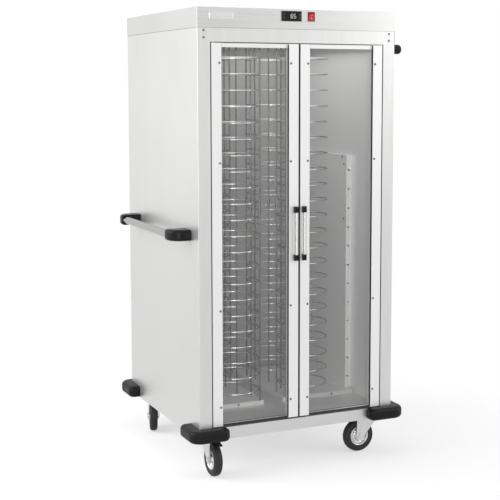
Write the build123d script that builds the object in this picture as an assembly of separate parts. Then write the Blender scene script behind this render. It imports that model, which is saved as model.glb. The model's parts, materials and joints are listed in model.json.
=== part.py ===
"""Heated plate cart: an insulated sheet-steel cabinet on swivel casters, with two glass doors
and four racks of plate rings.

Millimetres. +Z is up, the doors face -Y, and +X is to the right of someone facing the doors.
The origin is on the floor, at the middle of the whole cart's plan,
with the push handle and the bumpers counted in.
"""

import os
from math import cos, radians, sin

from build123d import *

# Cabinet
body_width = 796.0
body_depth = 784.0
total_height = 1700.0
body_bottom = 143.0
sheet = 1.5
post_width = 48.0
jamb_depth = 34.0
rear_lip = 26.0
cover_height = 71.0
cover_tuck = 12.0
lintel_height = 50.0
edge_round = 1.2

# Base tray and liner
base_height = 43.0
base_wall = 2.0
sill_width = 60.0
wall_space = 38.0
roof_insulation = 40.0
bolt_room = 12.0
seal_gap = 1.4
gasket_width = 9.0

# Doors
door_gap = 3.0
middle_gap = 5.0
sill_gap = 6.0
stile_width = 40.0
stile_depth = 28.0
stile_wall = 2.0
stile_chamber = 20.0
glass_thickness = 6.0
glass_grip = 14.0
glass_play = 0.1
top_rail_height = 15.0
bottom_rail_height = 5.0
rail_wall = 3.0
pivot_from_edge = 7.0
pivot_from_front = 6.0
pivot_radius = 3.5
pivot_reach = 25.0
washer_radius = 5.5
washer_play = 0.3
hinge_block_length = 34.0
door_screw_from_end = 70.0
door_screw_step = 355.0
door_screw_from_edge = 8.0

# Door pulls
pull_length = 200.0
pull_height = 884.0
pull_from_edge = 14.5
pull_out = 15.0
pull_end_width = 14.0
pull_end_length = 22.0
pull_bar_width = 10.0
pull_bar_depth = 6.0

# Screws
screw_head_radius = 4.5
screw_head_height = 2.2
screw_radius = 2.0
screw_length = 6.0
small_fit = 0.05
post_screw_drops = (10.0, 35.0)
back_screw_count = 6
back_screw_from_end = 40.0

# Push handle on the left side
handle_out = 78.0
handle_height = 889.0
handle_span = 640.0
bracket_height = 41.0
bracket_foot = 66.0
bracket_round = 11.0
bracket_bend = 48.0
tube_radius = 14.0
tube_cover = 3.0
tube_wall = 1.5
tube_seat = 20.0

# Corner bumpers
bumper_out = 43.0
bumper_height = 46.0
bumper_rise = 1.0
bumper_arm = 107.0
bumper_corner_radius = 44.0
bumper_end_radius = 24.0
bumper_edge_radius = 15.0

# Casters
wheel_radius = 62.5
tyre_width = 32.0
tyre_shoulder = 11.0
rim_radius = 38.0
rim_lip = 4.0
rim_width = 28.0
web_width = 8.0
hub_radius = 17.0
axle_radius = 5.0
axle_head_radius = 9.0
axle_head_height = 4.0
running_fit = 0.05
hub_play = 0.5
hub_overhang = 2.0
caster_inset_x = 66.0
caster_inset_y = 74.0
caster_trail = 38.0
plate_length = 100.0
plate_width = 86.0
plate_thickness = 5.0
bolt_spacing_x = 76.0
bolt_spacing_y = 60.0
bolt_radius = 4.0
bolt_head_radius = 7.0
bolt_head_height = 2.5
bolt_grip = 6.0
race_radius = 31.0
race_height = 5.0
race_gap = 0.3
crown_thickness = 5.0
crown_radius = 33.0
kingpin_radius = 6.0
kingpin_nut_radius = 9.0
kingpin_nut_height = 5.5
leg_thickness = 3.0
leg_foot_radius = 17.0
leg_back = 34.0
leg_fore = 52.0
pedal_forward = 44.0
pedal_barrel_radius = 3.5
pedal_pin_radius = 2.0
pedal_play = 0.6
pedal_length = 40.0
pedal_thickness = 4.0
pedal_rise = 0.3
pedal_tip_drop = 9.0
caster_angles = {"front_left": -90.0, "front_right": 180.0, "rear_left": -107.0, "rear_right": -60.0}

# Thermostat and switch on the cover
control_drop = 25.0
thermostat_x = -34.0
thermostat_width = 78.0
thermostat_height = 36.0
thermostat_out = 5.0
thermostat_body_width = 70.0
thermostat_body_height = 28.0
thermostat_body_depth = 58.0
display_width = 46.0
display_height = 22.0
display_thickness = 1.0
probe_radius = 3.0
probe_length = 34.0
probe_inset = 40.0
switch_x = 46.0
switch_width = 28.0
switch_height = 34.0
switch_out = 3.0
switch_wall = 2.0
switch_lip = 2.0
switch_depth = 24.0
rocker_play = 0.4
rocker_tilt = 8.0
rocker_depth = 9.0
rocker_pin_radius = 1.5
rocker_pin_reach = 1.2
rocker_pin_depth = 6.0

# Cord hook and gland on the right side
hook_plate_width = 38.0
hook_plate_thickness = 4.0
hook_plate_height = 106.0
hook_plate_top = 22.0
hook_inset = 8.0
hook_nose_height = 36.0
hook_nose_out = 40.0
gland_radius = 11.0
gland_length = 16.0
gland_bore = 4.5
gland_neck = 6.5
gland_inset = 90.0

# Plate racks
rack_pitch = 297.0
rack_back_shift = 31.0
ring_radius = 97.0
ring_wire = 2.5
ring_arcs = 4
ring_top_room = 40.0
ring_pitch = 61.0
lowest_ring = 47.0
upright_radius = 3.0
upright_angles = (-25.0, 25.0, 60.0)
sleeve_wall = 2.0
sleeve_length = 24.0
platform_rise = 15.0
platform_gap = 80.0
platform_side_room = 8.0
platform_front_room = 193.0
platform_back_room = 14.0
platform_screw_offsets = (0.0, 109.0)
cleat_width = 24.0
cleat_depth = 14.0

# Heater duct on the right liner wall
duct_depth = 22.0
duct_front_room = 228.0
duct_length = 430.0
duct_height = 948.0
vent_radius = 4.0
vent_count = 12
vent_top_room = 60.0
vent_low_room = 47.6
duct_post_radius = 4.5
duct_screw_edge = 20.0
duct_screw_drop = 8.0
duct_screw_levels = (36.0, 257.0)
duct_top_screws = (35.0, 262.0)
fan_from_front = 330.0
fan_rise = 230.0
impeller_radius = 58.0
impeller_hub_radius = 13.0
impeller_plate = 2.0
impeller_blade_width = 9.0
impeller_blade_thickness = 2.0
impeller_blades = 12
impeller_wall_gap = 5.0
fan_shaft_radius = 4.0
fan_shaft_hole_play = 0.5
motor_radius = 32.0
motor_length = 27.0
motor_pocket_play = 0.3
motor_shaft_seat = 18.0
intake_radius = 5.0
intake_ring_radius = 34.0
intake_count = 10
element_radius = 4.0
element_from_front = 150.0
element_spread = 80.0
element_rise = 370.0
element_length = 500.0
element_bend = 10.0
element_tail = 8.0

# Places worked out from the sizes above
left = -body_width / 2
right = body_width / 2
front = -body_depth / 2
back = body_depth / 2
cart_shift = (handle_out - bumper_out) / 2
sill_top = body_bottom + base_height
cover_bottom = total_height - cover_height
lintel_bottom = cover_bottom - lintel_height
panel_top = cover_bottom + cover_tuck
jamb_back = front + jamb_depth
liner_left = left + wall_space
liner_right = right - wall_space
liner_back = back - wall_space
floor_top = sill_top + sheet
platform_top = floor_top + platform_rise
door_bottom = sill_top + sill_gap
door_top = lintel_bottom - door_gap
glass_y = front + stile_depth / 2
control_z = total_height - control_drop
cover_front = front - sheet
rack_front_y = rack_back_shift - rack_pitch / 2
rack_columns = {
    "front_left": (-rack_pitch / 2, rack_front_y, 1),
    "front_right": (rack_pitch / 2, rack_front_y, 1),
    "rear_left": (-rack_pitch / 2, rack_front_y + rack_pitch, -1),
    "rear_right": (rack_pitch / 2, rack_front_y + rack_pitch, -1),
}
first_ring = platform_top + lowest_ring
ring_levels = int((lintel_bottom - first_ring - ring_top_room) / ring_pitch) + 1
duct_face = liner_right - duct_depth
duct_front = jamb_back + duct_front_room
fan_y = duct_front + fan_from_front
fan_z = platform_top + fan_rise
axle_gap = tyre_width + 2 * hub_overhang
leg_inner = axle_gap / 2 + hub_play
leg_outer = leg_inner + leg_thickness
crown_top = body_bottom - plate_thickness - race_height - race_gap
crown_bottom = crown_top - crown_thickness
pedal_z = crown_top - pedal_barrel_radius + pedal_rise


def block(x0, x1, y0, y1, z0, z1):
    """A box between two corners."""
    return Pos((x0 + x1) / 2, (y0 + y1) / 2, (z0 + z1) / 2) * Box(x1 - x0, y1 - y0, z1 - z0)


def rod_x(y, z, x0, x1, radius):
    """A round bar along X."""
    return Pos((x0 + x1) / 2, y, z) * Rot(0, 90, 0) * Cylinder(radius, x1 - x0)


def rod_y(x, z, y0, y1, radius):
    """A round bar along Y."""
    return Pos(x, (y0 + y1) / 2, z) * Rot(90, 0, 0) * Cylinder(radius, y1 - y0)


def rod_z(x, y, z0, z1, radius):
    """A round bar along Z."""
    return Pos(x, y, (z0 + z1) / 2) * Cylinder(radius, z1 - z0)


def save(name, *pieces):
    """Writes the pieces of one node, moved from the cabinet's middle to the cart's own frame."""
    solids = [solid for piece in pieces for solid in (Pos(cart_shift, 0, 0) * piece).solids()]
    shape = solids[0] if len(solids) == 1 else Compound(solids)
    export_step(shape, f"parts/{name}.step")


def screw(point, facing):
    """A pan-head screw whose head sits on the point's face and points along facing."""
    head = Pos(0, 0, screw_head_height / 2) * Cylinder(screw_head_radius, screw_head_height)
    head = fillet(head.edges().group_by(Axis.Z)[-1], screw_head_height * 0.7)
    shank = Pos(0, 0, -screw_length / 2) * Cylinder(screw_radius, screw_length)
    return Plane(origin=point, z_dir=facing) * (head + shank)


def screw_hole(point, facing):
    """The hole that the screw's shank needs in the sheet below it."""
    hole = Pos(0, 0, -screw_length / 2) * Cylinder(screw_radius + small_fit, screw_length + 2 * sheet)
    return Plane(origin=point, z_dir=facing) * hole


# Where the screws of the cabinet stand: a point on the face and the way the head looks
post_screw_levels = [cover_bottom - drop for drop in post_screw_drops]
post_screws = [((x, front, z), (0, -1, 0)) for x in (left + post_width / 2, right - post_width / 2)
               for z in post_screw_levels]
back_screw_step = (cover_bottom - sill_top - 2 * back_screw_from_end) / (back_screw_count - 1)
back_screw_levels = [sill_top + back_screw_from_end + i * back_screw_step for i in range(back_screw_count)]
back_screws = [((x, back, z), (0, 1, 0)) for x in (left + rear_lip / 2, right - rear_lip / 2)
               for z in back_screw_levels]
platform_screws = [((side * (rack_pitch / 2 + offset), jamb_back + platform_front_room,
                     floor_top + platform_rise / 2),
                    (0, -1, 0)) for side in (-1, 1) for offset in platform_screw_offsets]
duct_screws = [((duct_face, duct_front + duct_screw_edge, platform_top + duct_height - drop), (-1, 0, 0))
               for drop in duct_screw_levels]
duct_screws += [((duct_face, duct_front + run, platform_top + duct_height - duct_screw_drop), (-1, 0, 0))
                for run in duct_top_screws]


def side_panel(side):
    """One folded sheet: the side, a front post with its jamb, and a lip behind the back panel."""
    skin = block(left, left + sheet, front, back - sheet, body_bottom, panel_top)
    post = block(left, left + post_width, front, front + sheet, body_bottom, panel_top)
    jamb = block(left + post_width - sheet, left + post_width, front, jamb_back, sill_top, panel_top)
    lip = block(left, left + rear_lip, back - 2 * sheet, back - sheet, body_bottom, panel_top)
    panel = skin + post + jamb + lip
    panel = fillet(panel.edges().filter_by(Axis.Z).sort_by_distance((left, front, body_bottom))[0],
                   edge_round)
    panel = panel if side < 0 else mirror(panel, about=Plane.YZ)
    holes = [screw_hole(*place) for place in post_screws + back_screws if place[0][0] * side > 0]
    if side > 0:
        gland_z = cover_bottom - gland_inset
        holes.append(rod_x(back - gland_inset, gland_z, right - 2 * sheet, right + sheet,
                           gland_neck + small_fit))
    return panel - holes


def back_panel():
    """The flat sheet screwed onto the side panels' rear lips."""
    panel = block(left, right, back - sheet, back, body_bottom, panel_top)
    return panel - [screw_hole(*s) for s in back_screws]


def base_frame():
    """A welded tray with an inward sill all round its top."""
    x0, x1 = left + sheet, right - sheet
    y0, y1 = front + sheet, back - 2 * sheet
    tray = block(x0, x1, y0, y1, body_bottom, sill_top)
    tray -= block(x0 + base_wall, x1 - base_wall, y0 + base_wall, y1 - base_wall,
                  body_bottom + base_wall, sill_top - base_wall)
    tray -= block(x0 + sill_width, x1 - sill_width, y0 + sill_width, y1 - sill_width,
                  body_bottom + base_wall, sill_top + base_wall)
    return tray - [rod_z(x, y, body_bottom - base_wall, body_bottom + 2 * base_wall, bolt_radius + small_fit)
                   for x, y in bolt_places()]


def top_cover():
    """A cap over the panels, with cut-outs for the thermostat and the switch."""
    cap = block(left - sheet, right + sheet, cover_front, back + sheet, cover_bottom, total_height)
    upper = cap.faces().sort_by(Axis.Z)[-1].edges()
    corners = cap.edges().filter_by(Axis.Z)
    cap = fillet(list(upper) + list(corners), edge_round)
    cap -= block(left, right, front, back, cover_bottom - sheet, total_height - sheet)
    for x, width, height in ((thermostat_x, thermostat_body_width, thermostat_body_height),
                             (switch_x, switch_width - 2 * switch_lip, switch_height - 2 * switch_lip)):
        cap -= block(x - width / 2 - small_fit, x + width / 2 + small_fit, cover_front - sheet, front + sheet,
                     control_z - height / 2 - small_fit, control_z + height / 2 + small_fit)
    return cap


def front_lintel():
    """The folded sheet over the doors, and behind each post a bracket that the post's screws hold."""
    x0, x1 = left + post_width, right - post_width
    face = block(x0, x1, front, front + sheet, lintel_bottom, panel_top)
    face += block(x0, x1, front, jamb_back, lintel_bottom, lintel_bottom + sheet)
    bracket = block(left + sheet, x0 - sheet, front + sheet, front + sheet + screw_length,
                    lintel_bottom, panel_top)
    brackets = [bracket, mirror(bracket, about=Plane.YZ)]
    return [face] + [piece - [screw_hole(*place) for place in post_screws] for piece in brackets]


def liner_side(side):
    """A liner wall with the narrow front flange that meets the jamb."""
    wall = block(liner_left - sheet, liner_left, jamb_back, liner_back, sill_top, lintel_bottom + sheet)
    wall += block(liner_left, left + post_width, jamb_back, jamb_back + sheet, sill_top,
                  lintel_bottom + sheet)
    if side < 0:
        return wall
    wall = mirror(wall, about=Plane.YZ)
    wall -= rod_x(fan_y, fan_z, liner_right - sheet, liner_right + 2 * sheet,
                  fan_shaft_radius + fan_shaft_hole_play)
    for y in element_ys():
        wall -= rod_x(y, element_z(), liner_right - sheet, liner_right + 2 * sheet,
                      element_radius + small_fit)
    return wall


def liner_back_wall():
    return block(liner_left - sheet, liner_right + sheet, liner_back, liner_back + sheet,
                 sill_top, lintel_bottom + sheet)


def liner_floor():
    x0, x1 = left + post_width, right - post_width
    floor = block(liner_left, liner_right, jamb_back + sheet, liner_back, sill_top, floor_top)
    return floor + block(x0, x1, jamb_back, jamb_back + sheet, sill_top, floor_top)


def liner_ceiling():
    x0, x1 = left + post_width, right - post_width
    roof = block(liner_left, liner_right, jamb_back + sheet, liner_back, lintel_bottom, lintel_bottom + sheet)
    return roof + block(x0, x1, jamb_back, jamb_back + sheet, lintel_bottom, lintel_bottom + sheet)


def wall_insulation():
    """Blocks between the panels and the liner: two sides, back, roof and floor."""
    side = block(left + sheet, liner_left - sheet, jamb_back, back - 2 * sheet, sill_top, lintel_bottom)
    far_side = mirror(side, about=Plane.YZ) - [screw_hole(*place) for place in back_screws]
    side -= [screw_hole(*place) for place in back_screws]
    far_side -= rod_x(fan_y, fan_z, liner_right, right, motor_radius + motor_pocket_play)
    for y in element_ys():
        far_side -= rod_x(y, element_z(), liner_right, right, element_radius + small_fit)
    gland_z = cover_bottom - gland_inset
    far_side -= rod_x(back - gland_inset, gland_z, liner_right, right, gland_radius)
    rear = block(liner_left - sheet, liner_right + sheet, liner_back + sheet, back - 2 * sheet,
                 sill_top, lintel_bottom)
    roof_low = lintel_bottom + sheet
    roof = block(liner_left, liner_right, jamb_back, liner_back, roof_low, roof_low + roof_insulation)
    inset = sheet + sill_width
    under = block(left + inset, right - inset, front + inset, back - inset - sheet,
                  body_bottom + base_wall + bolt_room, sill_top)
    return side, far_side, rear, roof, under


def door_gasket():
    """A flat seal round the door opening, on the liner's front flanges."""
    x0, x1 = left + post_width, right - post_width
    outer = block(x0, x1, front + stile_depth + seal_gap, jamb_back, sill_top, lintel_bottom)
    return outer - block(x0 + gasket_width, x1 - gasket_width, front, jamb_back + sheet,
                         sill_top + gasket_width, lintel_bottom - gasket_width)


def door_edges(side):
    """Hinge edge and meeting edge of one door, in X."""
    return side * (right - post_width - door_gap), side * middle_gap / 2


def door_pivot(side):
    """The door's pivot axis in plan."""
    hinge_edge, _ = door_edges(side)
    return hinge_edge - side * pivot_from_edge, front + pivot_from_front


def stile(outer_edge, toward):
    """A hollow extrusion with a groove for the pane, standing from its outer edge toward the pane."""
    z0, z1 = door_bottom, door_top

    def span(near, far, y0, y1, low, high):
        xs = sorted((outer_edge + toward * near, outer_edge + toward * far))
        return block(xs[0], xs[1], y0, y1, low, high)

    bar = span(0, stile_width, front, front + stile_depth, z0, z1)
    bar = fillet(bar.edges().filter_by(Axis.Z), edge_round)
    bar -= span(stile_wall, stile_wall + stile_chamber, front + stile_wall, front + stile_depth - stile_wall,
                z0 - stile_wall, z1 + stile_wall)
    half_slot = glass_thickness / 2 + glass_play
    bar -= span(stile_width - glass_grip - glass_play, stile_width + stile_wall, glass_y - half_slot,
                glass_y + half_slot, z0 - stile_wall, z1 + stile_wall)
    return bar - [screw_hole(*place) for place in stile_screws(outer_edge, toward)]


def stile_screws(outer_edge, toward):
    """Four screws down the pane side of one stile."""
    levels = (door_bottom + door_screw_from_end, door_bottom + door_screw_from_end + door_screw_step,
              door_top - door_screw_from_end - door_screw_step, door_top - door_screw_from_end)
    x = outer_edge + toward * (stile_width - door_screw_from_edge)
    return [((x, front, z), (0, -1, 0)) for z in levels]


def hinge_block(side, low):
    """A plug in the hinge stile's chamber, bored for the pivot pin."""
    hinge_edge, _ = door_edges(side)
    xs = sorted((hinge_edge - side * stile_wall, hinge_edge - side * (stile_wall + stile_chamber)))
    plug = block(xs[0], xs[1], front + stile_wall, front + stile_depth - stile_wall,
                 low, low + hinge_block_length)
    x, y = door_pivot(side)
    return plug - rod_z(x, y, low - stile_wall, low + hinge_block_length + stile_wall,
                        pivot_radius + running_fit)


def door_rail(side, low, height, opens_up):
    """A slim channel along the pane's top or bottom edge."""
    hinge_edge, meeting_edge = door_edges(side)
    xs = sorted((hinge_edge - side * stile_width, meeting_edge + side * stile_width))
    half = glass_thickness / 2 + rail_wall
    rail = block(xs[0], xs[1], glass_y - half, glass_y + half, low, low + height)
    slot_low = low + rail_wall if opens_up else low - rail_wall
    return rail - block(xs[0] - rail_wall, xs[1] + rail_wall, glass_y - glass_thickness / 2,
                        glass_y + glass_thickness / 2, slot_low, slot_low + height)


def door_frame(side):
    hinge_edge, meeting_edge = door_edges(side)
    return (stile(hinge_edge, -side), stile(meeting_edge, side),
            door_rail(side, door_bottom, bottom_rail_height, True),
            door_rail(side, door_top - top_rail_height, top_rail_height, False),
            hinge_block(side, door_bottom),
            hinge_block(side, door_top - hinge_block_length))


def door_glass(side):
    hinge_edge, meeting_edge = door_edges(side)
    reach = stile_width - glass_grip
    xs = sorted((hinge_edge - side * reach, meeting_edge + side * reach))
    half = glass_thickness / 2
    return block(xs[0], xs[1], glass_y - half, glass_y + half, door_bottom + rail_wall, door_top - rail_wall)


def door_screws(side):
    hinge_edge, meeting_edge = door_edges(side)
    return [screw(*place) for place in stile_screws(hinge_edge, -side) + stile_screws(meeting_edge, side)]


def door_pull(side):
    """Two end posts on the meeting stile and the bar between them."""
    _, meeting_edge = door_edges(side)
    x = meeting_edge + side * pull_from_edge
    low, high = pull_height - pull_length / 2, pull_height + pull_length / 2
    posts = []
    for z in (low, high - pull_end_length):
        post = block(x - pull_end_width / 2, x + pull_end_width / 2, front - pull_out, front,
                     z, z + pull_end_length)
        posts.append(fillet(post.faces().sort_by(Axis.Y)[0].edges(), edge_round))
    bar = block(x - pull_bar_width / 2, x + pull_bar_width / 2,
                front - pull_out, front - pull_out + pull_bar_depth,
                low + pull_end_length, high - pull_end_length)
    return [*posts, fillet(bar.edges().filter_by(Axis.Z), edge_round)]


def pivot_pins():
    """A pin with its washer under and over the hinge edge of each door."""
    pins = []
    for side in (-1, 1):
        x, y = door_pivot(side)
        pins.append(rod_z(x, y, sill_top, door_bottom + pivot_reach, pivot_radius)
                    + rod_z(x, y, sill_top, door_bottom - washer_play, washer_radius))
        pins.append(rod_z(x, y, door_top - pivot_reach, lintel_bottom, pivot_radius)
                    + rod_z(x, y, door_top + washer_play, lintel_bottom, washer_radius))
    return pins


def bumper():
    """The rubber corner at the front left: two arms on the panels, rounded at the corner and the ends."""
    with BuildSketch() as plan:
        with BuildLine():
            Polyline((-bumper_out, -bumper_out), (bumper_arm, -bumper_out), (bumper_arm, 0), (0, 0),
                     (0, bumper_arm),
                     (-bumper_out, bumper_arm), close=True)
        make_face()
    pad = extrude(plan.sketch, bumper_height)
    uprights = pad.edges().filter_by(Axis.Z)
    corner = uprights.sort_by_distance((-bumper_out, -bumper_out, bumper_height / 2))[0]
    pad = fillet(corner, bumper_corner_radius)
    ends = [pad.edges().filter_by(Axis.Z).sort_by_distance((x, y, bumper_height / 2))[0]
            for x, y in ((bumper_arm, -bumper_out), (-bumper_out, bumper_arm))]
    pad = fillet(ends, bumper_end_radius)
    rims = [edge for edge in pad.edges() if abs(edge.bounding_box().size.Z) < edge_round / 10
            and edge.center().X + edge.center().Y < bumper_arm - bumper_out / 2
            and min(edge.center().X, edge.center().Y) < -edge_round]
    pad = fillet(rims, bumper_edge_radius)
    return Pos(left, front, body_bottom + bumper_rise) * pad


def corner_bumpers():
    pad = bumper()
    pads = [pad, mirror(pad, about=Plane.YZ)]
    return pads + [mirror(piece, about=Plane.XZ) for piece in pads]


def handle_bracket():
    """The front black end bracket: a curved arm from the panel with a socket for the tube."""
    foot_front = -handle_span / 2
    foot_back = foot_front + bracket_foot
    socket_depth = 2 * tube_radius + 2 * tube_cover
    with BuildSketch() as plan:
        with BuildLine():
            Polyline((left, foot_back), (left, foot_front), (left - handle_out + bracket_bend, foot_front))
            RadiusArc((left - handle_out + bracket_bend, foot_front),
                      (left - handle_out, foot_front + bracket_bend), bracket_bend)
            Polyline((left - handle_out, foot_front + bracket_bend), (left - handle_out, foot_back),
                     (left - handle_out + socket_depth, foot_back), (left, foot_back))
        make_face()
    arm = Pos(0, 0, handle_height - bracket_height / 2) * extrude(plan.sketch, bracket_height)
    upper = arm.faces().sort_by(Axis.Z)[-1].edges()
    lower = arm.faces().sort_by(Axis.Z)[0].edges()
    rims = [edge for edge in list(upper) + list(lower)
            if edge.center().X < left - edge_round and edge.center().Y < foot_back - edge_round]
    arm = fillet(rims, bracket_round)
    return arm - rod_y(tube_x(), handle_height, foot_back - tube_seat, foot_back + tube_seat,
                       tube_radius + small_fit)


def tube_x():
    """The handle tube's axis in X."""
    return left - handle_out + tube_cover + tube_radius


def handle_tube():
    reach = handle_span / 2 - bracket_foot + tube_seat
    tube = rod_y(tube_x(), handle_height, -reach, reach, tube_radius)
    return tube - rod_y(tube_x(), handle_height, -reach - tube_wall, reach + tube_wall,
                        tube_radius - tube_wall)


def caster_places():
    """Each caster's pivot in plan."""
    x, y = right - caster_inset_x, back - caster_inset_y
    return {"front_left": (-x, -y), "front_right": (x, -y), "rear_left": (-x, y), "rear_right": (x, y)}


def bolt_places():
    return [(x + dx * bolt_spacing_x / 2, y + dy * bolt_spacing_y / 2) for x, y in caster_places().values()
            for dx in (-1, 1) for dy in (-1, 1)]


def caster_plates():
    """Each top plate with its upper race and kingpin, and the bolts that hold the plates to the base."""
    low = body_bottom - plate_thickness
    pieces = []
    for x, y in caster_places().values():
        plate = block(x - plate_length / 2, x + plate_length / 2, y - plate_width / 2, y + plate_width / 2,
                      low, body_bottom)
        plate = fillet(plate.edges().filter_by(Axis.Z), plate_thickness)
        plate += rod_z(x, y, low - race_height, low, race_radius)
        nut_top = crown_bottom - race_gap
        plate += rod_z(x, y, nut_top - kingpin_nut_height, low, kingpin_radius)
        plate += rod_z(x, y, nut_top - kingpin_nut_height, nut_top, kingpin_nut_radius)
        pieces.append(plate - [rod_z(bx, by, low - base_wall, body_bottom + base_wall,
                                     bolt_radius + small_fit)
                               for bx, by in bolt_places()])
    for x, y in bolt_places():
        pieces.append(rod_z(x, y, low, body_bottom + base_wall + bolt_grip, bolt_radius)
                      + rod_z(x, y, low - bolt_head_height, low, bolt_head_radius))
    return pieces


def set_caster(name, piece):
    """Turns a caster piece, modelled with its trail along +X, to its place and heading."""
    x, y = caster_places()[name]
    return Pos(x, y, 0) * Rot(0, 0, caster_angles[name]) * piece


def fork():
    """The crown and two tapered legs, with the axle bolt as a piece of its own."""
    crown = rod_z(0, 0, crown_bottom, crown_top, crown_radius)
    crown += block(-leg_back, pedal_forward - 2 * pedal_barrel_radius, -leg_outer, leg_outer,
                   crown_bottom, crown_top)
    with BuildSketch(Plane.XZ) as side:
        with BuildLine():
            Polyline((-leg_back, crown_top), (leg_fore, crown_top),
                     (leg_fore, crown_bottom - pedal_barrel_radius),
                     (caster_trail + leg_foot_radius, wheel_radius),
                     (caster_trail - leg_foot_radius, wheel_radius),
                     (-leg_back, crown_bottom - pedal_barrel_radius), (-leg_back, crown_top))
        make_face()
        with Locations((caster_trail, wheel_radius)):
            Circle(leg_foot_radius)
    leg = extrude(side.sketch, leg_thickness)
    body = crown + Pos(0, -leg_inner, 0) * leg + Pos(0, leg_outer, 0) * leg
    body -= rod_z(0, 0, crown_bottom - race_gap, crown_top + race_gap, kingpin_radius + running_fit)
    body -= rod_y(caster_trail, wheel_radius, -leg_outer - leg_thickness, leg_outer + leg_thickness,
                  axle_radius + small_fit)
    body -= rod_y(pedal_forward, pedal_z, -leg_outer - leg_thickness, leg_outer + leg_thickness,
                  pedal_pin_radius + running_fit)
    axle = rod_y(caster_trail, wheel_radius, -leg_outer, leg_outer, axle_radius)
    for side_y in (-1, 1):
        ends = sorted((side_y * leg_outer, side_y * (leg_outer + axle_head_height)))
        axle += rod_y(caster_trail, wheel_radius, ends[0], ends[1], axle_head_radius)
    return body, axle


def wheel_rim():
    """Rim, web and hub turned about the axle."""
    x, z = caster_trail, wheel_radius
    rim = rod_y(x, z, -rim_width / 2, rim_width / 2, rim_radius)
    rim -= rod_y(x, z, -rim_width, rim_width, rim_radius - rim_lip)
    rim += rod_y(x, z, -web_width / 2, web_width / 2, rim_radius - rim_lip)
    rim += rod_y(x, z, -axle_gap / 2, axle_gap / 2, hub_radius)
    return rim - rod_y(x, z, -axle_gap, axle_gap, axle_radius + running_fit)


def tyre():
    """A solid rubber tyre with rounded shoulders."""
    ring = Cylinder(wheel_radius, tyre_width)
    ring = fillet(ring.edges().filter_by(GeomType.CIRCLE), tyre_shoulder)
    ring -= Cylinder(rim_radius, 2 * tyre_width)
    return Pos(caster_trail, 0, wheel_radius) * Rot(90, 0, 0) * ring


def brake_pedal():
    """A foot pedal over the tyre, on a barrel between the fork's legs."""
    half = leg_inner - pedal_play
    pedal = rod_y(pedal_forward, pedal_z, -half, half, pedal_barrel_radius)
    pedal += rod_y(pedal_forward, pedal_z, -leg_outer, leg_outer, pedal_pin_radius)
    tip_x, tip_z = pedal_forward + pedal_length, pedal_z + pedal_barrel_radius - pedal_tip_drop
    with BuildSketch(Plane.XZ) as side:
        with BuildLine():
            Polyline((pedal_forward, pedal_z + pedal_barrel_radius), (tip_x, tip_z),
                     (tip_x, tip_z - pedal_thickness),
                     (pedal_forward, pedal_z + pedal_barrel_radius - pedal_thickness),
                     (pedal_forward, pedal_z + pedal_barrel_radius))
        make_face()
    foot = Pos(0, half, 0) * extrude(side.sketch, 2 * half)
    return pedal + foot


def thermostat():
    """The controller's bezel and body."""
    half_w, half_h = thermostat_width / 2, thermostat_height / 2
    bezel = block(thermostat_x - half_w, thermostat_x + half_w, cover_front - thermostat_out, cover_front,
                  control_z - half_h, control_z + half_h)
    bezel = fillet(bezel.faces().sort_by(Axis.Y)[0].edges(), edge_round)
    half_w, half_h = thermostat_body_width / 2, thermostat_body_height / 2
    bezel += block(thermostat_x - half_w, thermostat_x + half_w, cover_front,
                   cover_front + thermostat_body_depth,
                   control_z - half_h, control_z + half_h)
    return bezel - thermostat_display()


def temperature_probe():
    """The thermostat's sensor, hanging from the liner ceiling."""
    x, y = liner_right - probe_inset, liner_back - probe_inset
    return rod_z(x, y, lintel_bottom - probe_length, lintel_bottom, probe_radius)


def thermostat_display():
    y0 = cover_front - thermostat_out
    return block(thermostat_x - display_width / 2, thermostat_x + display_width / 2, y0,
                 y0 + display_thickness,
                 control_z - display_height / 2, control_z + display_height / 2)


def rocker_axis():
    """The rocker's pivot: Y and Z of a pin along X."""
    return cover_front - switch_out + rocker_pin_depth, control_z


def switch_pocket():
    """Half width and half height of the switch's opening."""
    return switch_width / 2 - switch_lip - switch_wall, switch_height / 2 - switch_lip - switch_wall


def switch_frame():
    """The switch's bezel and body, with a pocket for the rocker and bores for its pins."""
    y0 = cover_front - switch_out
    bezel = block(switch_x - switch_width / 2, switch_x + switch_width / 2, y0, cover_front,
                  control_z - switch_height / 2, control_z + switch_height / 2)
    bezel = fillet(bezel.faces().sort_by(Axis.Y)[0].edges(), edge_round)
    half_w, half_h = switch_width / 2 - switch_lip, switch_height / 2 - switch_lip
    bezel += block(switch_x - half_w, switch_x + half_w, cover_front, cover_front + switch_depth,
                   control_z - half_h, control_z + half_h)
    half_w, half_h = switch_pocket()
    bezel -= block(switch_x - half_w, switch_x + half_w, y0 - switch_out,
                   cover_front + switch_depth - switch_wall,
                   control_z - half_h, control_z + half_h)
    y, z = rocker_axis()
    reach = half_w + rocker_pin_reach
    return bezel - rod_x(y, z, switch_x - reach, switch_x + reach, rocker_pin_radius + running_fit)


def switch_rocker():
    """A shallow V-shaped key on its pin, resting with one end pressed in."""
    half_w, half_h = switch_pocket()
    half_w -= rocker_play
    half_h -= 3 * rocker_play
    y, z = rocker_axis()
    valley = -rocker_pin_depth
    crest = valley - half_h * sin(radians(rocker_tilt))
    with BuildSketch(Plane.YZ) as side:
        with BuildLine():
            Polyline((valley, 0), (crest, half_h), (crest + rocker_depth, half_h),
                     (crest + rocker_depth, -half_h),
                     (crest, -half_h), (valley, 0))
        make_face()
    key = Pos(-half_w, 0, 0) * extrude(side.sketch, 2 * half_w)
    reach = switch_pocket()[0] + rocker_pin_reach - rocker_play
    key += rod_x(0, 0, -reach, reach, rocker_pin_radius)
    return Pos(switch_x, y, z) * Rot(rocker_tilt, 0, 0) * key


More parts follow.
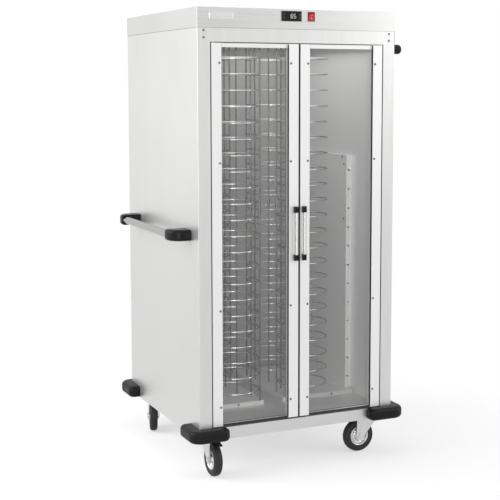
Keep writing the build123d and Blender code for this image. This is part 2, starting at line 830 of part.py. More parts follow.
def cord_hook():
    """A black hook near the front of the right side, its plate over the cover's edge and a round nose."""
    y0 = front + hook_inset
    y1 = y0 + hook_plate_width
    high = cover_bottom + hook_plate_top
    low = high - hook_plate_height
    face = right + sheet
    plate = block(face, face + hook_plate_thickness, y0, y1, low, high)
    pad = block(right, face, y0, y1, low, cover_bottom - sheet)
    nose_z = low + hook_nose_height / 2
    nose = rod_x((y0 + y1) / 2, nose_z, face, face + hook_nose_out, hook_nose_height / 2)
    tip = nose.edges().filter_by(GeomType.CIRCLE).sort_by(Axis.X)[-1]
    nose = fillet(tip, hook_nose_height / 3)
    return plate + pad + nose


def cable_gland():
    """The supply inlet at the rear of the right side."""
    y, z = back - gland_inset, cover_bottom - gland_inset
    body = rod_x(y, z, right, right + gland_length, gland_radius)
    body += rod_x(y, z, right - 2 * sheet, right, gland_neck)
    return body - rod_x(y, z, right - 4 * sheet, right + 2 * gland_length, gland_bore)


def rack_platforms():
    """Two low sheet boxes that the racks stand on, open below, with cleats behind their front screws."""
    y0, y1 = jamb_back + platform_front_room, liner_back - platform_back_room
    x0, x1 = platform_gap / 2, liner_right - platform_side_room
    box = block(x0, x1, y0, y1, floor_top, platform_top)
    box -= block(x0 + sheet, x1 - sheet, y0 + sheet, y1 - sheet, floor_top - sheet, platform_top - sheet)
    pieces = [box, mirror(box, about=Plane.YZ)]
    for (x, _, _), _ in platform_screws:
        pieces.append(block(x - cleat_width / 2, x + cleat_width / 2, y0 + sheet, y0 + sheet + cleat_depth,
                            floor_top, platform_top - sheet))
    return [piece - [screw_hole(*place) for place in platform_screws] for piece in pieces]


def plate_rack(x, y, toward):
    """One column: stacked rings welded from equal arcs, and three sleeved uprights towards the middle."""
    start = Plane.XZ * Pos(ring_radius, 0, 0) * Circle(ring_wire)
    arc = revolve(start, Axis.Z, 360 / ring_arcs)
    rings = [Pos(x, y, first_ring + i * ring_pitch) * Rot(0, 0, 360 / ring_arcs * (k + 1 / 2)) * arc
             for i in range(ring_levels) for k in range(ring_arcs)]
    circle = ring_radius + ring_wire + upright_radius
    joint_z = first_ring + (ring_levels // 2 + 1 / 2) * ring_pitch
    bars = []
    for angle in upright_angles:
        ux = x - circle * cos(radians(angle)) * x / abs(x)
        uy = y + circle * sin(radians(angle)) * toward
        bars.append(rod_z(ux, uy, platform_top, lintel_bottom, upright_radius))
        sleeve = rod_z(ux, uy, joint_z - sleeve_length / 2, joint_z + sleeve_length / 2,
                       upright_radius + sleeve_wall)
        bars.append(sleeve - rod_z(ux, uy, joint_z - sleeve_length, joint_z + sleeve_length,
                                   upright_radius + small_fit))
    return rings + bars


def element_ys():
    y = duct_front + element_from_front
    return y, y + element_spread


def element_z():
    return platform_top + element_rise


def duct_cover():
    """A shallow sheet box with vents down its front edge and an air intake, and the posts its screws hold."""
    y1 = duct_front + duct_length
    high = platform_top + duct_height
    box = block(duct_face, liner_right, duct_front, y1, platform_top, high)
    box -= block(duct_face + sheet, liner_right + sheet, duct_front + sheet, y1 - sheet, platform_top + sheet,
                 high - sheet)
    vent_x = duct_face + duct_depth / 2
    vent_pitch = (duct_height - vent_top_room - vent_low_room) / (vent_count - 1)
    for i in range(vent_count):
        z = high - vent_top_room - i * vent_pitch
        box -= rod_y(vent_x, z, duct_front - sheet, duct_front + 2 * sheet, vent_radius)
    for i in range(intake_count):
        angle = radians(360 * i / intake_count)
        box -= rod_x(fan_y + intake_ring_radius * cos(angle), fan_z + intake_ring_radius * sin(angle),
                     duct_face - sheet, duct_face + 2 * sheet, intake_radius)
    posts = [rod_x(y, z, duct_face + sheet, liner_right, duct_post_radius) for (_, y, z), _ in duct_screws]
    return [piece - [screw_hole(*place) for place in duct_screws] for piece in [box, *posts]]


def heating_element():
    """A bent tubular element: in through the liner, up, over and back."""
    ya, yb = element_ys()
    x = duct_face + duct_depth / 2
    tail = liner_right + sheet + element_tail
    low, high = element_z(), element_z() + element_length
    turn = element_spread / 2 * 0.98
    path = FilletPolyline((tail, ya, low), (x, ya, low), (x, ya, high), (x, yb, high), (x, yb, low),
                          (tail, yb, low),
                          radius=[element_bend, turn, turn, element_bend])
    section = Plane(origin=(tail, ya, low), z_dir=(-1, 0, 0)) * Circle(element_radius)
    return sweep(section, path=path)


def fan_motor():
    """A round motor in the wall's insulation, bored for the impeller's shaft."""
    x0 = liner_right + sheet
    body = rod_x(fan_y, fan_z, x0, x0 + motor_length, motor_radius)
    return body - rod_x(fan_y, fan_z, x0 - sheet, x0 + motor_shaft_seat, fan_shaft_radius + running_fit)


def fan_impeller():
    """A radial impeller on its shaft."""
    plate_high = liner_right - impeller_wall_gap
    plate_low = plate_high - impeller_plate
    wheel = rod_x(fan_y, fan_z, plate_low, plate_high, impeller_radius)
    wheel += rod_x(fan_y, fan_z, plate_low - impeller_blade_width, plate_low, impeller_hub_radius)
    blade = block(plate_low - impeller_blade_width, plate_low, impeller_hub_radius * 0.7,
                  impeller_radius * 0.95,
                  -impeller_blade_thickness / 2, impeller_blade_thickness / 2)
    for i in range(impeller_blades):
        wheel += Pos(0, fan_y, fan_z) * Rot(360 * i / impeller_blades, 0, 0) * blade
    shaft_end = liner_right + motor_shaft_seat
    return wheel + rod_x(fan_y, fan_z, plate_high, shaft_end, fan_shaft_radius)


os.makedirs("parts", exist_ok=True)

save("base_frame", base_frame())
save("left_side_panel", side_panel(-1))
save("right_side_panel", side_panel(1))
save("back_panel", back_panel())
save("top_cover", top_cover())
save("front_lintel", *front_lintel())
save("inner_left_wall", liner_side(-1))
save("inner_right_wall", liner_side(1))
save("inner_back_wall", liner_back_wall())
save("inner_floor", liner_floor())
save("inner_ceiling", liner_ceiling())
save("wall_insulation", *wall_insulation())
save("door_gasket", door_gasket())
for side_name, side in (("left", -1), ("right", 1)):
    save(f"{side_name}_door_frame", *door_frame(side))
    save(f"{side_name}_door_glass", door_glass(side))
    save(f"{side_name}_door_screws", *door_screws(side))
    save(f"{side_name}_door_pull", *door_pull(side))
save("door_pivot_pins", *pivot_pins())
save("cabinet_screws",
     *[screw(*place) for place in post_screws + back_screws + platform_screws + duct_screws])
save("corner_bumpers", *corner_bumpers())
front_bracket = handle_bracket()
save("push_handle_brackets", front_bracket, mirror(front_bracket, about=Plane.XZ))
save("push_handle_tube", handle_tube())
save("caster_mount_plates", *caster_plates())
for caster in caster_angles:
    save(f"{caster}_fork", *[set_caster(caster, piece) for piece in fork()])
    save(f"{caster}_wheel_rim", set_caster(caster, wheel_rim()))
    save(f"{caster}_tyre", set_caster(caster, tyre()))
    save(f"{caster}_brake_pedal", set_caster(caster, brake_pedal()))
save("thermostat", thermostat())
save("temperature_probe", temperature_probe())
save("thermostat_display", thermostat_display())
save("switch_frame", switch_frame())
save("switch_rocker", switch_rocker())
save("cord_hook", cord_hook())
save("cable_gland", cable_gland())
save("rack_platforms", *rack_platforms())
for column, place in rack_columns.items():
    save(f"{column}_plate_rack", *plate_rack(*place))
save("heater_duct_cover", *duct_cover())
save("heating_element", heating_element())
save("fan_motor", fan_motor())
save("fan_impeller", fan_impeller())
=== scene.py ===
import json

import bmesh
import bpy
import mathutils
import numpy as np
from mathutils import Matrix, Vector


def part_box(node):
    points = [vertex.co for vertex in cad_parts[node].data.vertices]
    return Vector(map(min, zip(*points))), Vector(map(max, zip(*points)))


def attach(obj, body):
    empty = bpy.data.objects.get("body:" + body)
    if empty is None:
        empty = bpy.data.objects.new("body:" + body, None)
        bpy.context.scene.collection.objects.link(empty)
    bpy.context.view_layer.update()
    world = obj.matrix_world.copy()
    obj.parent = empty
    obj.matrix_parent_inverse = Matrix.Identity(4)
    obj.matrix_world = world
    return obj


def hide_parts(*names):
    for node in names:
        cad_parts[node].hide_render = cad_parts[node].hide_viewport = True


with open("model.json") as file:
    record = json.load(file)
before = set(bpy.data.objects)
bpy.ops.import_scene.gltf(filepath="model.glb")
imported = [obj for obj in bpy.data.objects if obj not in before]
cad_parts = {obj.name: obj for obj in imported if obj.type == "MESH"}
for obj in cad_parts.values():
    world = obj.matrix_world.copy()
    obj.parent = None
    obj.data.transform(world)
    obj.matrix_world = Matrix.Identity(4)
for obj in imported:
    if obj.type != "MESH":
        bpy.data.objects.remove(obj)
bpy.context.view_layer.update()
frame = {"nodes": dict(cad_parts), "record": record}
nodes = frame["nodes"]
corners = ("front_left", "front_right", "rear_left", "rear_right")
joints = {j["name"]: j for j in frame["record"]["behaviour"]["joints"]}
print("loaded", len(nodes), "nodes")

# finishes: one dictionary each; grain is the noise density along X, Y and Z per metre
finishes = {
    "panelSteel": dict(color=(0.62, 0.62, 0.615), metal=0.80, rough=0.36, grain=(420, 420, 4),
                       grainTone=0.09, grainRough=0.10, cloud=1.6, cloudTone=0.03, cloudRough=0.06,
                       bump=0.02),
    "coverSteel": dict(color=(0.58, 0.58, 0.575), metal=0.82, rough=0.33, grain=(4, 420, 420),
                       grainTone=0.09, grainRough=0.10, cloud=1.8, cloudTone=0.03, cloudRough=0.06,
                       bump=0.02),
    # one liner steel in two copies: darker as painted shade for the left and back walls, paler as painted
    # light for the right wall and duct cover
    "linerPaintedShade": dict(color=(0.40, 0.40, 0.395), metal=0.45, rough=0.40, grain=(500, 500, 6),
                       grainTone=0.06, grainRough=0.12, cloud=2.5, cloudTone=0.05, cloudRough=0.08,
                       bump=0.03),
    "linerPaintedLight": dict(color=(0.86, 0.86, 0.855), metal=0.25, rough=0.40, grain=(500, 500, 6),
                      grainTone=0.06, grainRough=0.12, cloud=2.5, cloudTone=0.05, cloudRough=0.08,
                      bump=0.03),
    "floorSteel": dict(color=(0.64, 0.64, 0.635), metal=0.55, rough=0.38, grain=(5, 500, 500),
                       grainTone=0.06, grainRough=0.12, cloud=3.0, cloudTone=0.05, cloudRough=0.08,
                       bump=0.03),
    "platformSteel": dict(color=(0.82, 0.82, 0.815), metal=0.30, rough=0.36, grain=(5, 500, 500),
                          grainTone=0.06, grainRough=0.12, cloud=3.0, cloudTone=0.05, cloudRough=0.08,
                          bump=0.03),
    "doorProfile": dict(color=(0.85, 0.85, 0.845), metal=0.30, rough=0.40, grain=(900, 900, 8),
                        grainTone=0.03, grainRough=0.08, cloud=2.0, cloudTone=0.02, cloudRough=0.04,
                        bump=0.012),
    "screwSteel": dict(color=(0.20, 0.20, 0.195), metal=1.0, rough=0.28, grain=(900, 900, 900),
                       grainTone=0.10, grainRough=0.12, cloud=60.0, cloudTone=0.10, cloudRough=0.08,
                       bump=0.05),
    "handleTube": dict(color=(0.80, 0.80, 0.79), metal=1.0, rough=0.18, grain=(600, 6, 600), grainTone=0.04,
                       grainRough=0.08, cloud=6.0, cloudTone=0.02, cloudRough=0.05, bump=0.01,
                       paintedEdgeShade=0.85),
    "zincPlate": dict(color=(0.60, 0.60, 0.60), metal=0.9, rough=0.34, grain=(260, 260, 260),
                      grainTone=0.10, grainRough=0.14, cloud=25.0, cloudTone=0.08, cloudRough=0.10,
                      bump=0.03),
    "rackWire": dict(color=(0.78, 0.78, 0.775), metal=1.0, rough=0.15, grain=(300, 300, 300),
                     grainTone=0.04, grainRough=0.08, cloud=5.0, cloudTone=0.03, cloudRough=0.05, bump=0.01,
                     paintedEdgeShade=0.92),
    "uprightSteel": dict(color=(0.15, 0.15, 0.148), metal=1.0, rough=0.24, grain=(300, 300, 40),
                         grainTone=0.06, grainRough=0.10, cloud=5.0, cloudTone=0.04, cloudRough=0.06,
                         bump=0.01, paintedEdgeShade=0.6),
    "blackRubber": dict(color=(0.010, 0.010, 0.0105), metal=0.0, rough=0.42, grain=(1600, 1600, 1600),
                        grainTone=0.25, grainRough=0.10, cloud=14.0, cloudTone=0.20, cloudRough=0.10,
                        bump=0.10, gloss=0.14),
    "blackPlastic": dict(color=(0.011, 0.011, 0.0115), metal=0.0, rough=0.34, grain=(2200, 2200, 2200),
                         grainTone=0.20, grainRough=0.10, cloud=20.0, cloudTone=0.15, cloudRough=0.08,
                         bump=0.08, gloss=0.14),
    "tyreRubber": dict(color=(0.030, 0.030, 0.031), metal=0.0, rough=0.55, grain=(1200, 1200, 1200),
                       grainTone=0.30, grainRough=0.10, cloud=30.0, cloudTone=0.35, cloudRough=0.10,
                       bump=0.12, gloss=0.22),
    "wheelCore": dict(color=(0.64, 0.64, 0.64), metal=0.8, rough=0.32, grain=(1500, 1500, 1500),
                      grainTone=0.10, grainRough=0.10, cloud=30.0, cloudTone=0.10, cloudRough=0.10,
                      bump=0.06),
    "displayLens": dict(color=(0.008, 0.008, 0.010), metal=0.0, rough=0.10, grain=(900, 900, 900),
                        grainTone=0.10, grainRough=0.02, cloud=40.0, cloudTone=0.10, cloudRough=0.03,
                        bump=0.0, gloss=0.22),
    "switchFrame": dict(color=(0.20, 0.012, 0.012), metal=0.0, rough=0.30, grain=(2200, 2200, 2200),
                        grainTone=0.12, grainRough=0.06, cloud=60.0, cloudTone=0.10, cloudRough=0.05,
                        bump=0.03),
    "switchRed": dict(color=(0.72, 0.018, 0.020), metal=0.0, rough=0.22, grain=(2200, 2200, 2200),
                      grainTone=0.06, grainRough=0.05, cloud=60.0, cloudTone=0.06, cloudRough=0.05,
                      bump=0.02),
    # dark rubber for the door gasket and seals, also worn by the strips that are painted shade at the door
    # gaps and under the cover
    "sealRubber": dict(color=(0.035, 0.035, 0.035), metal=0.0, rough=0.60, grain=(1500, 1500, 1500),
                       grainTone=0.2, grainRough=0.1, cloud=20.0, cloudTone=0.2, cloudRough=0.1, bump=0.08,
                       gloss=0.22),
    "mineralFibre": dict(color=(0.62, 0.54, 0.34), metal=0.0, rough=0.95, grain=(300, 40, 300),
                         grainTone=0.35, grainRough=0.03, cloud=18.0, cloudTone=0.2, cloudRough=0.02,
                         bump=0.5),
    "darkElement": dict(color=(0.22, 0.21, 0.20), metal=0.9, rough=0.45, grain=(400, 400, 400),
                        grainTone=0.15, grainRough=0.12, cloud=16.0, cloudTone=0.15, cloudRough=0.1,
                        bump=0.03),
    "badgeSteel": dict(color=(0.66, 0.66, 0.655), metal=0.85, rough=0.26, grain=(8, 1200, 1200),
                       grainTone=0.05, grainRough=0.10, cloud=12.0, cloudTone=0.03, cloudRough=0.05,
                       bump=0.015),
    "keyGrey": dict(color=(0.050, 0.050, 0.053), metal=0.0, rough=0.45, grain=(2200, 2200, 2200),
                    grainTone=0.15, grainRough=0.08, cloud=60.0, cloudTone=0.10, cloudRough=0.05, bump=0.04,
                    gloss=0.22),
    "markWhite": dict(color=(0.86, 0.86, 0.85), metal=0.0, rough=0.5, grain=(1500, 1500, 1500),
                      grainTone=0.04, grainRough=0.05, cloud=80.0, cloudTone=0.03, cloudRough=0.03,
                      bump=0.0),
}


shading = dict(grainDetail=3.0, cloudDetail=2.0, smudgeDetail=4.0, bumpDepth=0.0004, plainGloss=0.5,
               paintedEdgeBlend=0.4)


def makeFinish(name, look):
    # two noises on object coordinates: a stretched grain and a slow cloud, both moving colour and roughness
    mat = bpy.data.materials.new(name)
    mat.use_nodes = True
    tree = mat.node_tree
    link = tree.links.new
    shader = tree.nodes["Principled BSDF"]
    shader.inputs["Metallic"].default_value = look["metal"]
    shader.inputs["Specular IOR Level"].default_value = look.get("gloss", shading["plainGloss"])
    coords = tree.nodes.new("ShaderNodeTexCoord")
    stretch = tree.nodes.new("ShaderNodeMapping")
    stretch.inputs["Scale"].default_value = look["grain"]
    link(coords.outputs["Object"], stretch.inputs["Vector"])
    grain = tree.nodes.new("ShaderNodeTexNoise")
    grain.inputs["Scale"].default_value = 1.0
    grain.inputs["Detail"].default_value = shading["grainDetail"]
    link(stretch.outputs["Vector"], grain.inputs["Vector"])
    cloud = tree.nodes.new("ShaderNodeTexNoise")
    cloud.inputs["Scale"].default_value = look["cloud"]
    cloud.inputs["Detail"].default_value = shading["cloudDetail"]
    link(coords.outputs["Object"], cloud.inputs["Vector"])
    # tone = 1 + 2 grainTone (grain - 1/2) + 2 cloudTone (cloud - 1/2), times the base colour
    grainShare = scaleAround(tree, grain.outputs["Fac"], look["grainTone"] * 2, 0.0)
    cloudShare = scaleAround(tree, cloud.outputs["Fac"], look["cloudTone"] * 2, 1.0)
    tone = tree.nodes.new("ShaderNodeMath")
    tone.operation = "ADD"
    link(grainShare, tone.inputs[0])
    link(cloudShare, tone.inputs[1])
    # painted shade: some finishes darken their colour on the edges seen side on
    if "paintedEdgeShade" in look:
        tone = withPaintedEdgeShade(tree, tone, look["paintedEdgeShade"])
    tint = tree.nodes.new("ShaderNodeVectorMath")
    tint.operation = "SCALE"
    tint.inputs[0].default_value = look["color"]
    link(tone.outputs[0], tint.inputs["Scale"])
    link(tint.outputs[0], shader.inputs["Base Color"])
    roughGrain = scaleAround(tree, grain.outputs["Fac"], look["grainRough"] * 2, look["rough"])
    roughCloud = scaleAround(tree, cloud.outputs["Fac"], look["cloudRough"] * 2, 0.0)
    rough = tree.nodes.new("ShaderNodeMath")
    rough.operation = "ADD"
    rough.use_clamp = True
    link(roughGrain, rough.inputs[0])
    link(roughCloud, rough.inputs[1])
    link(rough.outputs[0], shader.inputs["Roughness"])
    if look["bump"] > 0:
        bump = tree.nodes.new("ShaderNodeBump")
        bump.inputs["Strength"].default_value = look["bump"]
        bump.inputs["Distance"].default_value = shading["bumpDepth"]
        link(grain.outputs["Fac"], bump.inputs["Height"])
        link(bump.outputs["Normal"], shader.inputs["Normal"])
    return mat


def withPaintedEdgeShade(tree, tone, shade):
    # painted shade: tone times 1 - shade * facing, where facing is 1 on the round edges seen side on, so
    # these edges are drawn darker as if in shade
    weight = tree.nodes.new("ShaderNodeLayerWeight")
    weight.inputs["Blend"].default_value = shading["paintedEdgeBlend"]
    darker = tree.nodes.new("ShaderNodeMath")
    darker.operation = "MULTIPLY"
    tree.links.new(tone.outputs[0], darker.inputs[0])
    tree.links.new(scaleAround(tree, weight.outputs["Facing"], -shade, 1 - shade / 2), darker.inputs[1])
    return darker


def scaleAround(tree, socket, gain, middle):
    # middle + gain (value - 1/2)
    node = tree.nodes.new("ShaderNodeMath")
    node.operation = "MULTIPLY_ADD"
    tree.links.new(socket, node.inputs[0])
    node.inputs[1].default_value = gain
    node.inputs[2].default_value = middle - gain / 2
    return node.outputs[0]


paneLook = dict(color=(0.72, 0.73, 0.725), alpha=0.07, rough=0.03, smudge=0.05, smudgeSize=7.0)


def makePane(name, look):
    # clear pane: mostly see-through, with a faint smudge in its gloss
    mat = bpy.data.materials.new(name)
    mat.use_nodes = True
    tree = mat.node_tree
    shader = tree.nodes["Principled BSDF"]
    shader.inputs["Base Color"].default_value = (*look["color"], 1.0)
    shader.inputs["Alpha"].default_value = look["alpha"]
    coords = tree.nodes.new("ShaderNodeTexCoord")
    smudge = tree.nodes.new("ShaderNodeTexNoise")
    smudge.inputs["Scale"].default_value = look["smudgeSize"]
    smudge.inputs["Detail"].default_value = shading["smudgeDetail"]
    tree.links.new(coords.outputs["Object"], smudge.inputs["Vector"])
    rough = scaleAround(tree, smudge.outputs["Fac"], look["smudge"], look["rough"])
    tree.links.new(rough, shader.inputs["Roughness"])
    return mat


materials = {name: makeFinish(name, look) for name, look in finishes.items()}
materials["clearPane"] = makePane("clearPane", paneLook)
print("finishes made", len(materials))

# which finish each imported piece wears
dress = {
    "panelSteel": ["left_side_panel", "right_side_panel", "back_panel", "front_lintel"],
    "coverSteel": ["top_cover", "base_frame"],
    # the liner walls wear the shaded and lit copies of one steel: painted shade and painted light
    "linerPaintedShade": ["inner_left_wall", "inner_back_wall"],
    "linerPaintedLight": ["inner_right_wall", "heater_duct_cover"],
    "floorSteel": ["inner_floor", "inner_ceiling"],
    "platformSteel": ["rack_platforms"],
    "doorProfile": ["left_door_frame", "right_door_frame"],
    "clearPane": ["left_door_glass", "right_door_glass"],
    "screwSteel": ["cabinet_screws", "left_door_screws", "right_door_screws", "door_pivot_pins",
                   "temperature_probe"],
    "handleTube": ["push_handle_tube"],
    "zincPlate": ["caster_mount_plates"] + [f"{c}_fork" for c in corners],
    "rackWire": [f"{c}_plate_rack" for c in corners],
    "blackRubber": ["corner_bumpers"],
    "blackPlastic": ["push_handle_brackets", "left_door_pull", "right_door_pull", "thermostat", "cord_hook",
                     "cable_gland"] + [f"{c}_brake_pedal" for c in corners],
    "tyreRubber": [f"{c}_tyre" for c in corners],
    "wheelCore": [f"{c}_wheel_rim" for c in corners],
    "displayLens": ["thermostat_display"],
    "switchFrame": ["switch_frame"],
    "switchRed": ["switch_rocker"],
    "sealRubber": ["door_gasket"],
    "mineralFibre": ["wall_insulation"],
    "darkElement": ["heating_element", "fan_motor", "fan_impeller"],
}
for finish, names in dress.items():
    for name in names:
        for matSlot in nodes[name].material_slots:
            matSlot.material = materials[finish]
print("dressed", sum(len(names) for names in dress.values()), "nodes")


def ends(node):
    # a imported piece's lowest and highest corner, in metres
    low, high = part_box(node)
    return np.array(low), np.array(high)


def addMesh(name, points, faces, finish, body, slot):
    # points: n x 3 array in metres, faces: m x 4 array of indices
    return addFaces(name, points, faces.tolist(), finish, body)


def addMixed(name, points, quads, caps, finish, body, slot):
    # quads for the walls and triangles for the caps in one mesh, normals made to agree
    piece = addFaces(name, points, quads.tolist() + caps.tolist(), finish, body)
    outward(piece.data)
    return piece


def addFaces(name, points, faces, finish, body):
    mesh = bpy.data.meshes.new(name)
    mesh.from_pydata(points.tolist(), [], faces)
    mesh.validate()
    mesh.update()
    piece = bpy.data.objects.new(name, mesh)
    bpy.context.scene.collection.objects.link(piece)
    piece.data.materials.append(materials[finish])
    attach(piece, body)
    return piece


def smooth(piece, angle):
    # smooth shading, with edges sharper than the angle kept crisp
    piece.data.shade_smooth()
    piece.data.set_sharp_from_angle(angle=np.radians(angle))


def outward(mesh):
    # recalculates a closed mesh's normals so that they all face out
    work = bmesh.new()
    work.from_mesh(mesh)
    bmesh.ops.remove_doubles(work, verts=work.verts, dist=1e-7)
    bmesh.ops.recalc_face_normals(work, faces=work.faces)
    work.to_mesh(mesh)
    work.free()
    mesh.update()


def gridFaces(rows, around, closed):
    # quads between neighbouring rows that close round; closed also joins the last row to the first
    k = np.arange(rows if closed else rows - 1)[:, None]
    i = np.arange(around)[None, :]
    nextRow, nextStep = (k + 1) % rows, (i + 1) % around
    faces = [k * around + i, k * around + nextStep, nextRow * around + nextStep, nextRow * around + i]
    return np.stack(faces, 2).reshape(-1, 4)


def tubeFaces(count):
    # walls between two rings of points, and a fan of triangles to a middle point at each end
    i = np.arange(count)
    j = (i + 1) % count
    walls = np.stack([i, j, j + count, i + count], 1)
    caps = np.concatenate([np.stack([j, i, np.full(count, 2 * count)], 1),
                           np.stack([i + count, j + count, np.full(count, 2 * count + 1)], 1)])
    return walls, caps


def spots(xs, ys, zs):
    # every combination of the three lists, as an n x 3 array
    return np.stack(np.meshgrid(xs, ys, zs, indexing="ij"), 3).reshape(-1, 3).astype(float)


# digits on the display: seven bars per digit, thin closed plates standing on the lens
displayMarks = dict(digits="65", height=0.0150, width=0.0080, bar=0.0020, barGap=1.2, spacing=0.0118,
                    proud=0.00025, shiftX=0.0050)
# middle x, middle z and lies flat, of each bar in a unit digit
barPlaces = np.array([[0.5, 1.0, 1], [1.0, 0.75, 0], [1.0, 0.25, 0], [0.5, 0.0, 1], [0.0, 0.25, 0],
                      [0.0, 0.75, 0], [0.5, 0.5, 1]])
barsLit = {"6": [0, 2, 3, 4, 5, 6], "5": [0, 2, 3, 5, 6]}
boxCorners = np.array([[x, y, z] for x in (-1, 1) for y in (-1, 1) for z in (-1, 1)], float) / 2
boxFaces = np.array([[0, 1, 3, 2], [4, 6, 7, 5], [0, 4, 5, 1], [2, 3, 7, 6], [0, 2, 6, 4], [1, 5, 7, 3]])


def plates(centres, sizes):
    # one closed plate for each centre: corner offsets times the plate's size, added to its centre
    points = (boxCorners[None] * sizes[:, None, :] + centres[:, None, :]).reshape(-1, 3)
    faces = (boxFaces[None] + 8 * np.arange(len(centres))[:, None, None]).reshape(-1, 4)
    return points, faces


def displayDigits(look):
    low, high = ends("thermostat_display")
    middle = (low + high) / 2
    front = low[1]
    centres, sizes = [], []
    for i, digit in enumerate(look["digits"]):
        bars = barPlaces[barsLit[digit]]
        x = middle[0] + look["shiftX"] + (i - 0.5) * look["spacing"] + (bars[:, 0] - 0.5) * look["width"]
        z = middle[2] + (bars[:, 1] - 0.5) * look["height"]
        flat = bars[:, 2] > 0
        centres.append(np.stack([x, np.full_like(x, front - look["proud"] / 2), z], 1))
        gap = look["bar"] * look["barGap"]
        sizes.append(np.stack([np.where(flat, look["width"] - gap, look["bar"]),
                               np.full_like(x, look["proud"]),
                               np.where(flat, look["bar"], look["height"] / 2 - gap)], 1))
    return plates(np.concatenate(centres), np.concatenate(sizes))


addMesh("displayDigits", *displayDigits(displayMarks), "markWhite", "cabinet", "display_lens")


# switch marks: a bar on the raised half of the rocker and a ring on the pressed half, thin closed pieces
rockerMarks = dict(barWidth=0.0009, barLength=0.0050, ringOuter=0.0027, ringInner=0.0019, proud=0.00018,
                   around=40, restTilt=8.0, faceTilt=8.0, valley=0.0060, middle=0.0060)


def rockerFace(look, up):
    # middle of one half of the rocker's face, its slope direction and its outward direction, at rest
    spin = joints["switch_rock"]["pos_m"]
    tilt = np.radians(look["restTilt"])
    slope = np.radians(look["restTilt"] + look["faceTilt"] if up else look["restTilt"] - look["faceTilt"])
    valley = np.array(spin) + look["valley"] * np.array([0.0, -np.cos(tilt), -np.sin(tilt)])
    along = np.array([0.0, -np.sin(slope), np.cos(slope)])
    outer = np.array([0.0, -np.cos(slope), -np.sin(slope)])
    return valley + (1 if up else -1) * look["middle"] * along, along, outer


def rockerBar(look):
    middle, along, outer = rockerFace(look, True)
    across = np.array([1.0, 0.0, 0.0])
    offsets = boxCorners * np.array([look["barWidth"], look["proud"] * 2, look["barLength"]])
    return middle + offsets @ np.stack([across, outer, along]), boxFaces


def rockerRing(look):
    # square section carried round a circle in the face's plane
    middle, along, outer = rockerFace(look, False)
    angle = np.linspace(0, 2 * np.pi, look["around"], endpoint=False)
    inner, wide = look["ringInner"], look["ringOuter"]
    section = np.array([[inner, -1], [wide, -1], [wide, 1], [inner, 1]])
    spoke = np.cos(angle)[:, None] * np.array([1.0, 0.0, 0.0]) + np.sin(angle)[:, None] * along
    points = middle + section[:, None, 0, None] * spoke + section[:, None, 1, None] * look["proud"] * outer
    return points.reshape(-1, 3), gridFaces(len(section), look["around"], True)


for name, shape in (("rockerBar", rockerBar(rockerMarks)), ("rockerRing", rockerRing(rockerMarks))):
    outward(addMesh(name, *shape, "markWhite", "rocker", "switch_red").data)


# membrane keys beside the lens: shallow domes, two each side
keyLook = dict(radius=0.0042, height=0.0006, fromEdge=0.0078, apart=0.0125, rings=7, around=32)


def keyDomes(look):
    # height falls with the square of the radius from the key's middle
    low, high = ends("thermostat")
    share = np.linspace(1.0, 0.0, look["rings"])[:, None]
    angle = np.linspace(0, 2 * np.pi, look["around"], endpoint=False)[None, :]
    x = look["radius"] * share * np.cos(angle)
    z = look["radius"] * share * np.sin(angle)
    y = -look["height"] * (1 - share ** 2) + 0 * angle
    dome = np.stack([x, y, z], 2).reshape(-1, 3)
    base = np.stack([x[0], np.full(look["around"], look["height"]), z[0]], 1)
    points = np.concatenate([dome, base])
    i = np.arange(look["around"])
    j = (i + 1) % look["around"]
    under = look["rings"] * look["around"]
    quads = np.concatenate([gridFaces(look["rings"], look["around"], False),
                            np.stack([j, i, i + under, j + under], 1)])
    middleZ = (low[2] + high[2]) / 2
    places = spots((low[0] + look["fromEdge"], high[0] - look["fromEdge"]), (low[1],),
                   (middleZ - look["apart"] / 2, middleZ + look["apart"] / 2))
    allPoints = (points[None] + places[:, None, :]).reshape(-1, 3)
    allQuads = (quads[None] + len(points) * np.arange(len(places))[:, None, None]).reshape(-1, 4)
    return allPoints, allQuads


keys = addMesh("membraneKeys", *keyDomes(keyLook), "keyGrey", "cabinet", "black_plastic")
outward(keys.data)
smooth(keys, 60)

# door pulls: a bright closed sleeve round the bar, between the dark ends
pullLook = dict(endLength=0.022, barWidth=0.0104, barDepth=0.0066, barMiddle=0.0030, corner=0.0024, steps=6)


def pullSleeve(side, look):
    # rounded rectangle outline carried from the lower end piece to the upper one
    low, high = ends(side + "_door_pull")
    outline = roundedOutline(look["barWidth"], look["barDepth"], look["corner"], look["steps"])
    middle = np.array([(low[0] + high[0]) / 2, low[1] + look["barMiddle"]])
    count = len(outline)
    levels = (low[2] + look["endLength"], high[2] - look["endLength"])
    rings = [np.concatenate([outline + middle, np.full((count, 1), z)], 1) for z in levels]
    points = np.concatenate(rings + [[[*middle, levels[0]], [*middle, levels[1]]]])
    return points, *tubeFaces(count)


# door seals: dark strips on the stiles' pane sides and on the bottom rails; the dark strips round the doors'
# upright edges and the thin laps beside them on the front are painted shade of the gaps round the doors
sealAndGapShadeLook = dict(stileWidth=0.040, thick=0.0004, gapShadeThick=0.0003, fromFront=0.0008, gapShadeInset=0.0015,
                lapShadeWidth=0.0011, lapProud=0.0002, lapShadeSunk=0.0003, railHeight=0.005, railSunk=0.0005,
                railAhead=0.003)


